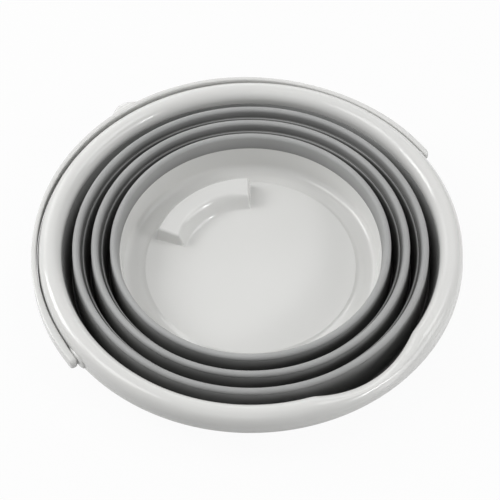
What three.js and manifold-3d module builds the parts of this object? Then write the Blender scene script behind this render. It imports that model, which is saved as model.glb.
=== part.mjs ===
// Collapsible bucket, pushed flat: a rigid base dish, a soft bellows with three pleats,
// a rigid rim with a pouring spout, and a bail handle folded back round the rim.
//
// Millimetres, +Z up. The origin is the centre of the base's flat underside.
// The spout points along -Y, the bail lies round the +Y side and swings about a line along X.
//
// The bellows is one soft moulding on the real bucket. Its stiff walls (collars and rings)
// keep their shape, and its thin webs (folds) turn inside out when a pleat is pulled open.

import * as THREE from 'three';
import { mergeVertices } from 'three/addons/utils/BufferGeometryUtils.js';
import Module from 'manifold-3d';

const { degToRad, smoothstep, lerp } = THREE.MathUtils;
const wasm = await Module();
wasm.setup();

// Driving dimensions: general
const SEGMENTS = 48; // facets round the axis, a multiple of four
const GAP = 0.3; // clearance between neighbouring pieces

// Driving dimensions: base dish
const FLOOR_RADIUS = 81.5; // raised floor, out to the channel round it
const BASE_WALL = 2.8; // floor and dish wall
const CHANNEL_DEPTH = 1.2; // channel below the floor
const CHANNEL_SLOPE = 2.6; // radial run of the step from the floor to the channel
const COVE_RADIUS = 4; // inside cove between the channel and the wall
const COVE_RUN = 5.9; // radial run from the start of the cove to the dish mouth
const DISH_RUN = 18.6; // radial run from the floor to the dish mouth
const DISH_DEPTH = 19.5; // floor to dish mouth

// Driving dimensions: finger grip, a pocket in the base that is open below
const GRIP_HALF_ANGLE = degToRad(35.6);
const GRIP_CLEAR = 4.5; // flat floor left between the grip and the channel
const GRIP_WIDTH = 22.5; // radial width at the floor
const GRIP_HEIGHT = 13.2; // above the floor
const GRIP_SLOPE = 10; // radial run of the rounded inner slope
const GRIP_ROUND = 2; // outer top edge

// Driving dimensions: bond between the soft bellows and a rigid edge
const SKIN = 1; // soft skin on each side of the rigid tongue
const TONGUE = 1.4; // thickness of the rigid tongue
const TONGUE_DEPTH = 5; // how far the tongue reaches into the bellows
const LAP = 2; // soft outer lip hanging below the dish mouth

// Driving dimensions: bellows
const PITCH = 14.25; // radial distance from one crest to the next
const CREST_RISE = 12.8; // dish mouth to the top of the crests
const CREST_INSET = 3.9; // dish mouth to the middle of the first crest, radially
const NOSE_RADIUS = 2.7; // rounded top of a pleat
const HEAD_DEPTH = 3.7; // top of the nose to its flat underside
const GROOVE_INSET = 3.3; // middle of a crest to the groove at the foot of its inner flank
const GROOVE_DROP = 8.8; // the same, downwards from the top of the crest
const LIP_WIDTH = 1.7; // lip that runs round below the flank
const LIP_RISE = 1.7;
const EDGE_INSET = 6.9; // middle of a crest to the upper edge of its stiff wall
const EDGE_DROP = 8.7; // the same, downwards from the top of the crest
const NECK = 2.5; // wall between the nose and the groove
const RING_WALL = 3; // stiff wall below the lip
const RING_LEAN = 1.7; // how far a stiff wall leans inwards going down
const COLLAR_LEAN = 5.25; // the same for the wall under the rim
const WEB_WALL = 1.2; // thin web that flips
const FOOT_CLEAR = 1.8; // underside of the valleys above the ground
const VALLEY_GAP = 1; // slot between a stiff wall and the next web, at the valley
const VALLEY_ROUND = 0.9;

// Driving dimensions: rim
const RIM_WALL = 2.2;
const RIM_EDGE_DROP = 7.8; // inner edge below the crests
const RIM_EDGE_INSET = 0.1; // inner edge inside the rolled top
const ROLL_RADIUS = 8.7; // rolled top
const ROLL_DROP = 4.5; // centre of the roll below the crests
const SKIRT_DEPTH = 6.2; // centre of the roll to the skirt's lower edge
const SKIRT_FLARE = 0.1;

// Driving dimensions: spout
const SPOUT_HALF_ANGLE = degToRad(18.75);
const SPOUT_DIP = 4.5; // how far the lip dips in the middle
const SPOUT_REACH = 5; // how far the inner slope is drawn outwards

// Driving dimensions: bail handle and its pivots
const PIVOT_DROP = 9.1; // pivot line below the crests
const PIVOT_FORWARD = 7; // pivot line in front of the bucket's axis
const BAIL_TILT = degToRad(2.25); // the folded bail rises towards the back
const BAIL_GAP = 0.8; // rim to bail
const BAIL_THICKNESS = 4.2; // radial
const BAIL_HEIGHT = 9.5;
const BAIL_ROUND = 1.5; // long edges
const BAIL_OFFSET = 1.2; // centre of the bail's arc behind the bucket's axis
const BOSS_STAND = 2.4; // boss face proud of the rim
const BOSS_HALF_LENGTH = 6.5;
const BOSS_WALL = 1.6; // over and under the peg hole, and behind it
const LUG_GAP = 0.5; // boss face to the bail's end
const LUG_BLEND = 30; // run over which the bail comes in from the boss to the rim
const PEG_RADIUS = 3.5;
const PEG_LENGTH = 6.5; // inside the boss
const TAB_LENGTH = 22; // thumb tab
const TAB_REACH = 4.5;
const TAB_HEIGHT = 5;
const TAB_DROP = 1.2; // below the bail's upper edge

// Levels
const floorTop = BASE_WALL;
const channelTop = floorTop - CHANNEL_DEPTH;
const mouthZ = floorTop + DISH_DEPTH;
const crestZ = mouthZ + CREST_RISE;
const noseZ = crestZ - NOSE_RADIUS;
const headZ = crestZ - HEAD_DEPTH;
const footTop = FOOT_CLEAR + WEB_WALL;
const ringBottom = footTop + GAP;
const rimEdgeZ = crestZ - RIM_EDGE_DROP;
const rollZ = crestZ - ROLL_DROP;
const pivotZ = crestZ - PIVOT_DROP;

// Radii, from the inside out. Crest 0 belongs to the base collar, 1 and 2 to the rings.
const mouthRadius = FLOOR_RADIUS + DISH_RUN;
const tongueInset = SKIN + GAP;
const bead = 2 * tongueInset + TONGUE;
const crest = (i) => mouthRadius + CREST_INSET + i * PITCH;
const wallTop = (i) => crest(i) - EDGE_INSET;
const wallFoot = (i) => wallTop(i) - RING_LEAN;
const rimCollar = 3;
const rimEdgeRadius = wallFoot(rimCollar) + COLLAR_LEAN;
const rollRadius = rimEdgeRadius + RIM_EDGE_INSET + ROLL_RADIUS;
const rimRadius = rollRadius + ROLL_RADIUS;
const bossFace = rimRadius + BOSS_STAND;
const bailInner = rimRadius + BAIL_GAP;

// Points of an arc in the r-z plane, with angles from +r towards +z.
function arc(r, z, radius, from, to, steps) {
  const points = [];
  for (let i = 0; i <= steps; i++) {
    const angle = lerp(from, to, i / steps);
    points.push([r + radius * Math.cos(angle), z + radius * Math.sin(angle)]);
  }
  return points;
}

// Angle at which a straight line from a point touches the upper inner side of a circle. The
// point is given from the circle's centre.
function touchAngle(run, rise, radius) {
  return 2 * Math.PI + Math.atan2(rise, run) - Math.acos(radius / Math.hypot(run, rise));
}

// Solid of revolution about Z. The outline of [r, z] points runs anticlockwise, and it
// closes on itself unless it starts and ends on the axis.
function revolve(outline) {
  const points = outline.map(([r, z]) => new THREE.Vector2(r, z));
  if (outline[0][0] > 0) {
    points.push(points[0].clone());
  }
  return new THREE.LatheGeometry(points, SEGMENTS).rotateX(Math.PI / 2);
}

// Skin over a row of matching sections, each an anticlockwise outline seen against the
// direction of travel. A looped row meets itself, and an open one gets flat ends.
function loft(sections, looped, endOutline = []) {
  const count = sections[0].length;
  const rows = sections.length;
  const index = [];
  for (let i = 0; i < (looped ? rows : rows - 1); i++) {
    const next = (i + 1) % rows;
    for (let j = 0; j < count; j++) {
      const k = (j + 1) % count;
      const a = i * count + j;
      const b = i * count + k;
      const c = next * count + j;
      const d = next * count + k;
      index.push(a, c, b, c, d, b);
    }
  }
  const flat = endOutline.map(([r, z]) => new THREE.Vector2(r, z));
  const lastRow = (rows - 1) * count;
  for (const [a, b, c] of flat.length ? THREE.ShapeUtils.triangulateShape(flat, []) : []) {
    index.push(a, b, c);
    index.push(lastRow + c, lastRow + b, lastRow + a);
  }
  const geometry = new THREE.BufferGeometry();
  const positions = sections.flat().flatMap((point) => point.toArray());
  geometry.setAttribute('position', new THREE.Float32BufferAttribute(positions, 3));
  geometry.setIndex(index);
  return geometry;
}

// A point at an angle round the axis, counted from the spout through +X to the back.
function turned(angle, [r, z]) {
  return new THREE.Vector3(r * Math.sin(angle), -r * Math.cos(angle), z);
}

// Booleans
function toSolid(geometry) {
  const bare = new THREE.BufferGeometry();
  bare.setAttribute('position', geometry.getAttribute('position'));
  bare.setIndex(geometry.index);
  const welded = mergeVertices(bare);
  const corners = welded.index.array;
  const triangles = [];
  for (let i = 0; i < corners.length; i += 3) {
    const [a, b, c] = corners.slice(i, i + 3);
    if (a !== b && b !== c && c !== a) {
      triangles.push(a, b, c);
    }
  }
  return new wasm.Manifold(new wasm.Mesh({
    numProp: 3,
    vertProperties: welded.getAttribute('position').array,
    triVerts: new Uint32Array(triangles),
  }));
}

function toGeometry(solid) {
  const mesh = solid.getMesh();
  const geometry = new THREE.BufferGeometry();
  geometry.setAttribute('position', new THREE.BufferAttribute(mesh.vertProperties, 3));
  geometry.setIndex(new THREE.BufferAttribute(mesh.triVerts, 1));
  return geometry;
}

// A round bar along the pivot line between two stations.
function pivotBar(radius, from, to) {
  const bar = new THREE.CylinderGeometry(radius, radius, Math.abs(to - from), 24);
  return toSolid(bar.rotateZ(Math.PI / 2).translate((from + to) / 2, -PIVOT_FORWARD, pivotZ));
}

// Inner face of the bellows above the dish mouth, which leans outwards up to the first crest
function mouthFace(z) {
  const lean = -Math.tan(touchAngle(-CREST_INSET, mouthZ - noseZ, NOSE_RADIUS));
  return mouthRadius + lean * (z - mouthZ);
}

// Base: dish with a raised floor, a channel round it, a coved wall, a tongue for the bellows and the
// finger grip
function gripOutline(inset, bottom) {
  const outer = FLOOR_RADIUS - GRIP_CLEAR - inset;
  const inner = FLOOR_RADIUS - GRIP_CLEAR - GRIP_WIDTH + inset;
  const top = floorTop + GRIP_HEIGHT - inset;
  const points = [[outer, bottom]];
  points.push(...arc(outer - GRIP_ROUND, top - GRIP_ROUND, GRIP_ROUND, 0, Math.PI / 2, 2));
  const slopeSteps = 5;
  for (let i = 0; i <= slopeSteps; i++) {
    const angle = (Math.PI / 2) * (1 - i / slopeSteps);
    const r = inner + GRIP_SLOPE * (1 - Math.cos(angle));
    points.push([r, floorTop + (top - floorTop) * Math.sin(angle)]);
  }
  points.push([inner, bottom]);
  return points;
}

function gripBlock(inset, bottom) {
  const outline = gripOutline(inset, bottom);
  const half = GRIP_HALF_ANGLE - inset / (FLOOR_RADIUS - GRIP_CLEAR - GRIP_WIDTH / 2);
  const steps = 12;
  const sections = [];
  for (let i = 0; i <= steps; i++) {
    const angle = Math.PI + lerp(-half, half, i / steps);
    sections.push(outline.map((point) => turned(angle, point)));
  }
  return toSolid(loft(sections, false, outline));
}

function makeBase() {
  const channelRadius = mouthRadius - COVE_RUN;
  const rise = mouthZ - channelTop - COVE_RADIUS;
  const wallAngle = Math.atan2(rise, COVE_RUN) + Math.asin(COVE_RADIUS / Math.hypot(rise, COVE_RUN));
  const down = -Math.PI / 2;
  const outerRadius = COVE_RADIUS + BASE_WALL;
  const outerCove = arc(channelRadius, outerRadius, outerRadius, down, down + wallAngle, 4);
  const innerCove = arc(channelRadius, channelTop + COVE_RADIUS, COVE_RADIUS, down + wallAngle, down, 4);
  const tongueInner = mouthRadius + tongueInset;
  const tongueOuter = tongueInner + TONGUE;
  const tongueZ = mouthZ + TONGUE_DEPTH;
  const dish = revolve([
    [0, 0],
    ...outerCove,
    [tongueOuter, mouthZ - LAP],
    [tongueOuter, mouthZ],
    [mouthFace(tongueZ) + tongueInset + TONGUE, tongueZ],
    [mouthFace(tongueZ) + tongueInset, tongueZ],
    [tongueInner, mouthZ],
    [mouthRadius, mouthZ],
    ...innerCove,
    [FLOOR_RADIUS + CHANNEL_SLOPE, channelTop],
    [FLOOR_RADIUS, floorTop],
    [0, floorTop],
  ]);
  const bump = gripBlock(0, floorTop / 2);
  const pocket = gripBlock(BASE_WALL, -floorTop);
  return toGeometry(toSolid(dish).add(bump).subtract(pocket));
}

// Bellows: crest of a pleat, from the outer edge of its underside over the nose to where a
// straight flank down to the given foot leaves it
function noseOutline(middle, [footR, footZ]) {
  const end = touchAngle(footR - middle, footZ - noseZ, NOSE_RADIUS);
  return [[middle + NOSE_RADIUS, headZ], ...arc(middle, noseZ, NOSE_RADIUS, 0, end, 5)];
}

function makeBaseCollar() {
  const grooveOuter = SKIN + 2 * GAP + TONGUE;
  const grooveTop = mouthZ + TONGUE_DEPTH + GAP;
  const lip = mouthZ + GAP;
  return revolve([
    [mouthRadius + bead, mouthZ - LAP],
    [mouthRadius + bead, mouthZ],
    [mouthFace(headZ) + bead, headZ],
    ...noseOutline(crest(0), [mouthRadius, mouthZ]),
    [mouthFace(lip), lip],
    [mouthFace(lip) + SKIN, lip],
    [mouthFace(grooveTop) + SKIN, grooveTop],
    [mouthFace(grooveTop) + grooveOuter, grooveTop],
    [mouthRadius + grooveOuter, mouthZ],
    [mouthRadius + grooveOuter, mouthZ - LAP],
  ]);
}

function makeRing(i) {
  const middle = crest(i);
  const edgeZ = crestZ - EDGE_DROP;
  const groove = [middle - GROOVE_INSET, crestZ - GROOVE_DROP];
  const shoulderZ = groove[1] - RING_WALL;
  return revolve([
    [wallFoot(i) + RING_WALL, ringBottom],
    [wallTop(i) + RING_WALL, shoulderZ - RING_WALL],
    [groove[0] + NECK, shoulderZ],
    [groove[0] + NECK, headZ],
    ...noseOutline(middle, groove),
    groove,
    [groove[0] - LIP_WIDTH, groove[1] + LIP_RISE],
    [wallTop(i), edgeZ],
    [wallFoot(i), ringBottom],
  ]);
}

// The web under crest i, hooked under the foot of the next stiff wall outwards
function makeFold(i) {
  const top = crest(i) + NOSE_RADIUS;
  const foot = wallFoot(i + 1) - VALLEY_GAP;
  const hook = wallFoot(i + 1) + RING_WALL;
  return revolve([
    [hook, FOOT_CLEAR],
    [hook, footTop],
    [foot + VALLEY_ROUND, footTop],
    [foot, footTop + VALLEY_ROUND],
    [top, headZ - GAP],
    [top - WEB_WALL, headZ - GAP],
    [foot - WEB_WALL, FOOT_CLEAR + VALLEY_ROUND],
    [foot - WEB_WALL + VALLEY_ROUND, FOOT_CLEAR],
  ]);
}

// Inner face of the wall under the rim, which leans inwards going down
function collarInner(z) {
  const drop = (rimEdgeZ - z) / (rimEdgeZ - ringBottom);
  return rimEdgeRadius - COLLAR_LEAN * drop;
}

// Angles of the rim's sections, closer together across the spout
function rimAngles() {
  const step = (2 * Math.PI) / SEGMENTS;
  const angles = [];
  for (let i = 0; i < SEGMENTS; i++) {
    const angle = i * step;
    const middle = angle + step / 2;
    angles.push(angle);
    if (Math.min(middle, 2 * Math.PI - middle) < SPOUT_HALF_ANGLE) {
      angles.push(middle);
    }
  }
  return angles;
}

function makeRimCollar() {
  const grooveInner = SKIN;
  const grooveOuter = SKIN + 2 * GAP + TONGUE;
  const grooveZ = rimEdgeZ - TONGUE_DEPTH - GAP;
  const beadZ = grooveZ - SKIN;
  const top = rimEdgeZ - GAP;
  const outline = [
    [collarInner(ringBottom) + RING_WALL, ringBottom],
    [collarInner(beadZ - SKIN) + RING_WALL, beadZ - SKIN],
    [collarInner(beadZ) + bead, beadZ],
    [collarInner(top) + bead, top],
    [collarInner(top) + grooveOuter, top],
    [collarInner(grooveZ) + grooveOuter, grooveZ],
    [collarInner(grooveZ) + grooveInner, grooveZ],
    [collarInner(top) + grooveInner, top],
    [collarInner(top), top],
    [collarInner(ringBottom), ringBottom],
  ];
  const sections = rimAngles().map((angle) => outline.map((point) => turned(angle, point)));
  return loft(sections, true);
}

// Rim: rolled top over a skirt, with a tongue for the bellows
function rimOutline() {
  const tangent = touchAngle(rimEdgeRadius - rollRadius, rimEdgeZ - rollZ, ROLL_RADIUS);
  const tongueZ = rimEdgeZ - TONGUE_DEPTH;
  const tongueTop = rimEdgeRadius + tongueInset + TONGUE;
  const hollow = ROLL_RADIUS - RIM_WALL;
  const inside = arc(rollRadius, rollZ, hollow, Math.acos((tongueTop - rollRadius) / hollow), 0, 5);
  const skirtZ = rollZ - SKIRT_DEPTH;
  return [
    [rimRadius + SKIRT_FLARE, skirtZ],
    ...arc(rollRadius, rollZ, ROLL_RADIUS, 0, tangent, 8),
    [rimEdgeRadius, rimEdgeZ],
    [rimEdgeRadius + tongueInset, rimEdgeZ],
    [collarInner(tongueZ) + tongueInset, tongueZ],
    [collarInner(tongueZ) + tongueInset + TONGUE, tongueZ],
    [tongueTop, rimEdgeZ],
    ...inside,
    [rimRadius + SKIRT_FLARE - RIM_WALL, skirtZ],
  ];
}

// The spout dips the roll and draws the inner slope outwards, and leaves the skirt round
function spoutPoint(angle, [r, z]) {
  const fromSpout = Math.min(angle, 2 * Math.PI - angle);
  const share = Math.min(fromSpout / SPOUT_HALF_ANGLE, 1);
  const middle = Math.cos((share * Math.PI) / 2);
  const upper = middle * smoothstep(z, rimEdgeZ, rollZ + ROLL_RADIUS);
  const inner = 1 - smoothstep(r, rollRadius - ROLL_RADIUS, rimRadius);
  return [r + SPOUT_REACH * upper * inner, z - SPOUT_DIP * upper];
}

// Pivot boss on the side of the rim: an oval pad, solid behind so that it holds the peg hole
function bossBlock(side) {
  const holeRadius = PEG_RADIUS + GAP;
  const halfHeight = holeRadius + BOSS_WALL;
  const straight = BOSS_HALF_LENGTH - halfHeight;
  const pad = new THREE.Shape();
  pad.absarc(straight, 0, halfHeight, -Math.PI / 2, Math.PI / 2, false);
  pad.absarc(-straight, 0, halfHeight, Math.PI / 2, (3 * Math.PI) / 2, false);
  const depth = BOSS_STAND + PEG_LENGTH + GAP + BOSS_WALL;
  const block = new THREE.ExtrudeGeometry(pad, { depth, bevelEnabled: false, curveSegments: 10 });
  block.rotateX(Math.PI / 2).rotateZ(Math.PI / 2);
  block.translate(side > 0 ? bossFace - depth : -bossFace, -PIVOT_FORWARD, pivotZ);
  return toSolid(block);
}

function makeRim() {
  const outline = rimOutline();
  const section = (angle) => outline.map((point) => turned(angle, spoutPoint(angle, point)));
  let rim = toSolid(loft(rimAngles().map(section), true));
  for (const side of [-1, 1]) {
    const holeBottom = bossFace - PEG_LENGTH - GAP;
    const hole = pivotBar(PEG_RADIUS + GAP, side * holeBottom, side * (bossFace + BOSS_STAND));
    rim = rim.add(bossBlock(side)).subtract(hole);
  }
  return toGeometry(rim);
}

// Bail: a strip with rounded edges and round ends, which stands off the boss at each end
function bailSection(inner, halfHeight) {
  const outer = inner + BAIL_THICKNESS;
  const round = Math.min(BAIL_ROUND, 0.9 * halfHeight, 0.45 * BAIL_THICKNESS);
  const quarter = Math.PI / 2;
  return [
    ...arc(outer - round, pivotZ - halfHeight + round, round, -quarter, 0, 2),
    ...arc(outer - round, pivotZ + halfHeight - round, round, 0, quarter, 2),
    ...arc(inner + round, pivotZ + halfHeight - round, round, quarter, 2 * quarter, 2),
    ...arc(inner + round, pivotZ - halfHeight + round, round, 2 * quarter, 3 * quarter, 2),
  ];
}

function makeHandle() {
  const endRadius = BAIL_HEIGHT / 2;
  const lugInner = bossFace + LUG_GAP;
  const lugReach = BOSS_HALF_LENGTH + 2 * LUG_GAP;
  const angleAt = (fromPivot) => Math.asin((fromPivot - PIVOT_FORWARD - BAIL_OFFSET) / bailInner);
  // Stations from the right end to the middle of the back: the angle round the bail's arc, and
  // half the strip's height there. The left half mirrors them.
  const stations = [];
  for (const turn of [78, 55, 28].map(degToRad)) {
    stations.push({ angle: angleAt(-endRadius * Math.sin(turn)), half: endRadius * Math.cos(turn) });
  }
  const lugSteps = 6;
  for (let i = 0; i < lugSteps; i++) {
    stations.push({ angle: angleAt(((lugReach + LUG_BLEND) * i) / lugSteps), half: endRadius });
  }
  const arcSteps = 16;
  const arcStart = angleAt(lugReach + LUG_BLEND);
  for (let i = 0; i <= arcSteps; i++) {
    stations.push({ angle: lerp(arcStart, Math.PI / 2, i / arcSteps), half: endRadius });
  }
  for (const { angle, half } of stations.slice(0, -1).reverse()) {
    stations.push({ angle: Math.PI - angle, half });
  }
  const sections = stations.map(({ angle, half }) => {
    const fromPivot = PIVOT_FORWARD + BAIL_OFFSET + bailInner * Math.sin(angle);
    const beside = lugInner / Math.max(Math.abs(Math.cos(angle)), 0.5);
    const inner = lerp(beside, bailInner, smoothstep(fromPivot, lugReach, lugReach + LUG_BLEND));
    return bailSection(inner, half).map(([r, z]) => {
      return new THREE.Vector3(r * Math.cos(angle), BAIL_OFFSET + r * Math.sin(angle), z);
    });
  });
  const endOutline = bailSection(lugInner, endRadius);
  let handle = toSolid(loft(sections, false, endOutline)).add(thumbTab());
  for (const side of [-1, 1]) {
    handle = handle.add(pivotBar(PEG_RADIUS, side * (bossFace - PEG_LENGTH), side * (lugInner + 1)));
  }
  const tilted = toGeometry(handle).translate(0, PIVOT_FORWARD, -pivotZ).rotateX(BAIL_TILT);
  return tilted.translate(0, -PIVOT_FORWARD, pivotZ);
}

// Thumb tab: a flat lens on the outside of the bail, opposite the spout
function thumbTab() {
  const lens = new THREE.Shape();
  lens.moveTo(-TAB_LENGTH / 2, -BAIL_THICKNESS / 2);
  lens.lineTo(TAB_LENGTH / 2, -BAIL_THICKNESS / 2);
  lens.lineTo(TAB_LENGTH / 2, 0);
  lens.bezierCurveTo(TAB_LENGTH / 4, TAB_REACH, TAB_LENGTH / 5, TAB_REACH, 0, TAB_REACH);
  lens.bezierCurveTo(-TAB_LENGTH / 5, TAB_REACH, -TAB_LENGTH / 4, TAB_REACH, -TAB_LENGTH / 2, 0);
  const tab = new THREE.ExtrudeGeometry(lens, { depth: TAB_HEIGHT, bevelEnabled: false, curveSegments: 6 });
  const edge = BAIL_OFFSET + bailInner + BAIL_THICKNESS;
  const chordDrop = TAB_LENGTH ** 2 / (8 * (bailInner + BAIL_THICKNESS));
  tab.translate(0, edge - chordDrop, pivotZ + BAIL_HEIGHT / 2 - TAB_DROP - TAB_HEIGHT);
  return toSolid(tab);
}

// Assembly
const rigid = { color: 0xdadad8, roughness: 0.3, metalness: 0 };
const soft = { color: 0x8f8f8d, roughness: 0.6, metalness: 0 };
const bucket = new THREE.Group();

function addPiece(name, geometry, finish) {
  const piece = new THREE.Mesh(geometry, new THREE.MeshStandardMaterial(finish));
  piece.name = name;
  bucket.add(piece);
}

addPiece('base', makeBase(), rigid);
addPiece('base_collar', makeBaseCollar(), soft);
addPiece('lower_fold', makeFold(0), soft);
addPiece('lower_ring', makeRing(1), soft);
addPiece('middle_fold', makeFold(1), soft);
addPiece('upper_ring', makeRing(2), soft);
addPiece('upper_fold', makeFold(2), soft);
addPiece('rim_collar', makeRimCollar(), soft);
addPiece('rim', makeRim(), rigid);
addPiece('handle', makeHandle(), rigid);

export default bucket;
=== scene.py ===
# %% [markdown]
# # A collapsible bucket, pushed flat
# The bucket is four mouldings: a stiff glossy base dish, a soft grey bellows, a stiff glossy rim with a
# pouring spout, and a bail handle folded back round the rim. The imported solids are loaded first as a
# fixed frame. Every piece below then stands where its solid stands, with rounder edges and real finishes.

# %% Load the frame
import math

import bpy
import numpy as np
from mathutils import Matrix, Vector


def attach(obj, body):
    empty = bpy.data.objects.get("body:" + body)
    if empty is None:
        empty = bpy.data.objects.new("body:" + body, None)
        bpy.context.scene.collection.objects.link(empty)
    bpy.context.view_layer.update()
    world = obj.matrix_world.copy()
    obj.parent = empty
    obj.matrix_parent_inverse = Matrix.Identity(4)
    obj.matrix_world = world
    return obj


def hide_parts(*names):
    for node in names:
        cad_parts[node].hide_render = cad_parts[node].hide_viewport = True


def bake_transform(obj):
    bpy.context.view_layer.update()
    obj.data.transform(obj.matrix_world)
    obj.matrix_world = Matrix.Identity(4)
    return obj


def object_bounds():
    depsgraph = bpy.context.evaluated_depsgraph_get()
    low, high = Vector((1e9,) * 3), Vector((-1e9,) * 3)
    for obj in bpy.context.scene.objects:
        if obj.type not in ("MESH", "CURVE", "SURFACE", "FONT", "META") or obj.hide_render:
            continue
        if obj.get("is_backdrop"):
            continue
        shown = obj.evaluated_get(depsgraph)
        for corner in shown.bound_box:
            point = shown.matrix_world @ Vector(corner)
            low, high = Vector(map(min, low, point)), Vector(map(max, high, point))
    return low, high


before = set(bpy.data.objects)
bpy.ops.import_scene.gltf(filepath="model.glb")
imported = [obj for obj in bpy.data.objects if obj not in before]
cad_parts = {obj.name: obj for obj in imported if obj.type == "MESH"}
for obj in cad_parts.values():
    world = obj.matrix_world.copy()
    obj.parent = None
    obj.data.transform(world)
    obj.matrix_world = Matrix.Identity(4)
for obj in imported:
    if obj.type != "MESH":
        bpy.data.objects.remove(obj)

cad_low, cad_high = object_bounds()
scene = bpy.context.scene
scene.view_settings.view_transform = "Standard"
MM = 0.001
print("frame", sorted(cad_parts), "box", [round(v, 4) for v in cad_high - cad_low])

# %% [markdown]
# ## Camera
# The photograph looks down at the bucket from a little over 53 degrees. The circles of the pleats gave that
# angle, and the distance: a near camera makes the front of a circle larger than its back. The handle's
# tab lies behind and to the left, so the camera goes 36 degrees round to the left of the spout.

# %% Camera
ELEVATION = math.radians(53.4)
AZIMUTH = math.radians(-36.2)
DISTANCE = 1.15
AIM = Vector((0, 0, 0.0355))
FRAME_PIXELS = 500
SENSOR_WIDTH = 36
AIM_PIXEL = (250.6, 238.7)
FOCAL_PIXELS = 1517.2

right = Vector((math.cos(AZIMUTH), math.sin(AZIMUTH), 0))
away = Vector((-math.sin(AZIMUTH), math.cos(AZIMUTH), 0))
up = Vector((0, 0, 1))
to_camera = up * math.sin(ELEVATION) - away * math.cos(ELEVATION)
camera_data = bpy.data.cameras.new("camera")
camera_data.sensor_width = SENSOR_WIDTH
camera_data.lens = SENSOR_WIDTH * FOCAL_PIXELS / FRAME_PIXELS
camera_data.shift_x = 0.5 - AIM_PIXEL[0] / FRAME_PIXELS
camera_data.shift_y = AIM_PIXEL[1] / FRAME_PIXELS - 0.5
camera = bpy.data.objects.new("camera", camera_data)
camera.location = AIM + to_camera * DISTANCE
camera.rotation_euler = (-to_camera).to_track_quat("-Z", "Y").to_euler()
scene.collection.objects.link(camera)
scene.camera = camera
print("camera at", [round(v, 3) for v in camera.location], "lens", round(camera_data.lens, 1), "mm")

# %% [markdown]
# ## A way to write node maths
# Node trees get long when every Math node is made and linked by hand. One small class wraps a socket, so
# that `1 - mask` or `a * b` adds the Math nodes itself, in a shader tree and in a Geometry Nodes tree alike.
# Its method `node` makes any other node: settings first, then the values or links of its sockets.

# %% Sockets as numbers
class Field:
    """A socket of a node tree. Operators on it add Math nodes to the tree."""

    def __init__(self, tree, socket=None):
        self.tree = tree
        self.socket = socket

    def node(self, kind, settings=None, inputs=None, output=0):
        """Adds a node with its settings and with values or links for its inputs."""
        made = self.tree.nodes.new(kind)
        for name, value in (settings or {}).items():
            setattr(made, name, value)
        for name, value in (inputs or {}).items():
            if isinstance(value, Field):
                self.tree.links.new(value.socket, made.inputs[name])
            else:
                made.inputs[name].default_value = value
        return Field(self.tree, made.outputs[output] if len(made.outputs) else None)

    def other(self, output):
        """Another output of the same node."""
        return Field(self.tree, self.socket.node.outputs[output])

    def maths(self, operation, *values):
        return self.node("ShaderNodeMath", {"operation": operation}, dict(enumerate(values)))

    def step(self, low, high):
        """Smooth step from 0 at the low value to 1 at the high one."""
        values = {"Value": self, "From Min": low, "From Max": high}
        return self.node("ShaderNodeMapRange", {"interpolation_type": "SMOOTHSTEP"}, values)

    def __add__(self, other):
        return self.maths("ADD", self, other)

    def __sub__(self, other):
        return self.maths("SUBTRACT", self, other)

    def __mul__(self, other):
        return self.maths("MULTIPLY", self, other)

    def __truediv__(self, other):
        return self.maths("DIVIDE", self, other)

    def __rsub__(self, other):
        return self.maths("SUBTRACT", other, self)

    __radd__ = __add__
    __rmul__ = __mul__


print("node maths ready")

# %% [markdown]
# ## Finishes
# Two plastics make the whole bucket. The stiff one is glossy polypropylene, nearly white and a touch warm.
# Its gloss isn't perfect: moulded surfaces carry a faint orange peel, and handling dulls them in patches.
# The soft one is a grey elastomer with a satin skin and a fine grain. Its colour carries painted shade: deep
# grey low down in the valleys, where shade falls, and paler on the crests, with a painted highlight along
# each lip. Image textures would need every piece unwrapped, so both are mixed from noise and height on Object
# coordinates, which stay fixed to the piece when it moves.

# %% Material helpers
def new_material(name):
    material = bpy.data.materials.new(name)
    material.use_nodes = True
    tree = material.node_tree
    tree.nodes.clear()
    start = Field(tree)
    return material, start, start.node("ShaderNodeTexCoord", output="Object")


def noise(where, scale, detail=2.0):
    return where.node("ShaderNodeTexNoise", {}, {"Vector": where, "Scale": scale, "Detail": detail})


def mixed(share, low, high):
    ends = [end if isinstance(end, Field) else (*end, 1) for end in (low, high)]
    return share.node("ShaderNodeMix", {"data_type": "RGBA"}, {0: share, 6: ends[0], 7: ends[1]}, output=2)


def finish_surface(start, colour, roughness, relief, depth, **constants):
    bump = start.node("ShaderNodeBump", {}, {"Height": relief, "Strength": 1.0, "Distance": depth})
    sockets = {"Base Color": colour, "Roughness": roughness, "Normal": bump}
    sockets.update({name.replace("_", " "): value for name, value in constants.items()})
    surface = start.node("ShaderNodeBsdfPrincipled", {}, sockets)
    start.node("ShaderNodeOutputMaterial", {}, {"Surface": surface})


print("material helpers ready")

# %% Glossy shell and satin bellows
SHELL_TINTS = (0.69, 0.69, 0.675), (0.705, 0.705, 0.691)
# Rubber tints: the deep ones are painted shade for the low valleys, the pale ones are the crests' grey.
SHADE_PAINTED_TINTS = (0.115, 0.115, 0.113), (0.135, 0.135, 0.132)
PALE_TINTS = (0.35, 0.353, 0.351), (0.39, 0.393, 0.39)
PEEL_DEPTH = 0.000012
GRAIN_DEPTH = 0.00004
# Heights and widths of a painted highlight along each ring's lip.
LIP_HIGHLIGHT_HEIGHTS = 27.0 * MM, 28.0 * MM
LIP_HIGHLIGHT_WIDTHS = 0.4 * MM, 0.9 * MM


def shell_plastic():
    material, start, where = new_material("shell_gloss")
    cloud = noise(where, scale=9.0)
    peel = noise(where, scale=240.0, detail=1.0)
    colour = mixed(cloud.step(0.25, 0.75), *SHELL_TINTS)
    roughness = 0.11 + 0.03 * noise(where, scale=30.0, detail=3.0) + 0.02 * noise(where, scale=900.0)
    finish_surface(start, colour, roughness, peel, PEEL_DEPTH, IOR=1.5)
    return material


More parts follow.
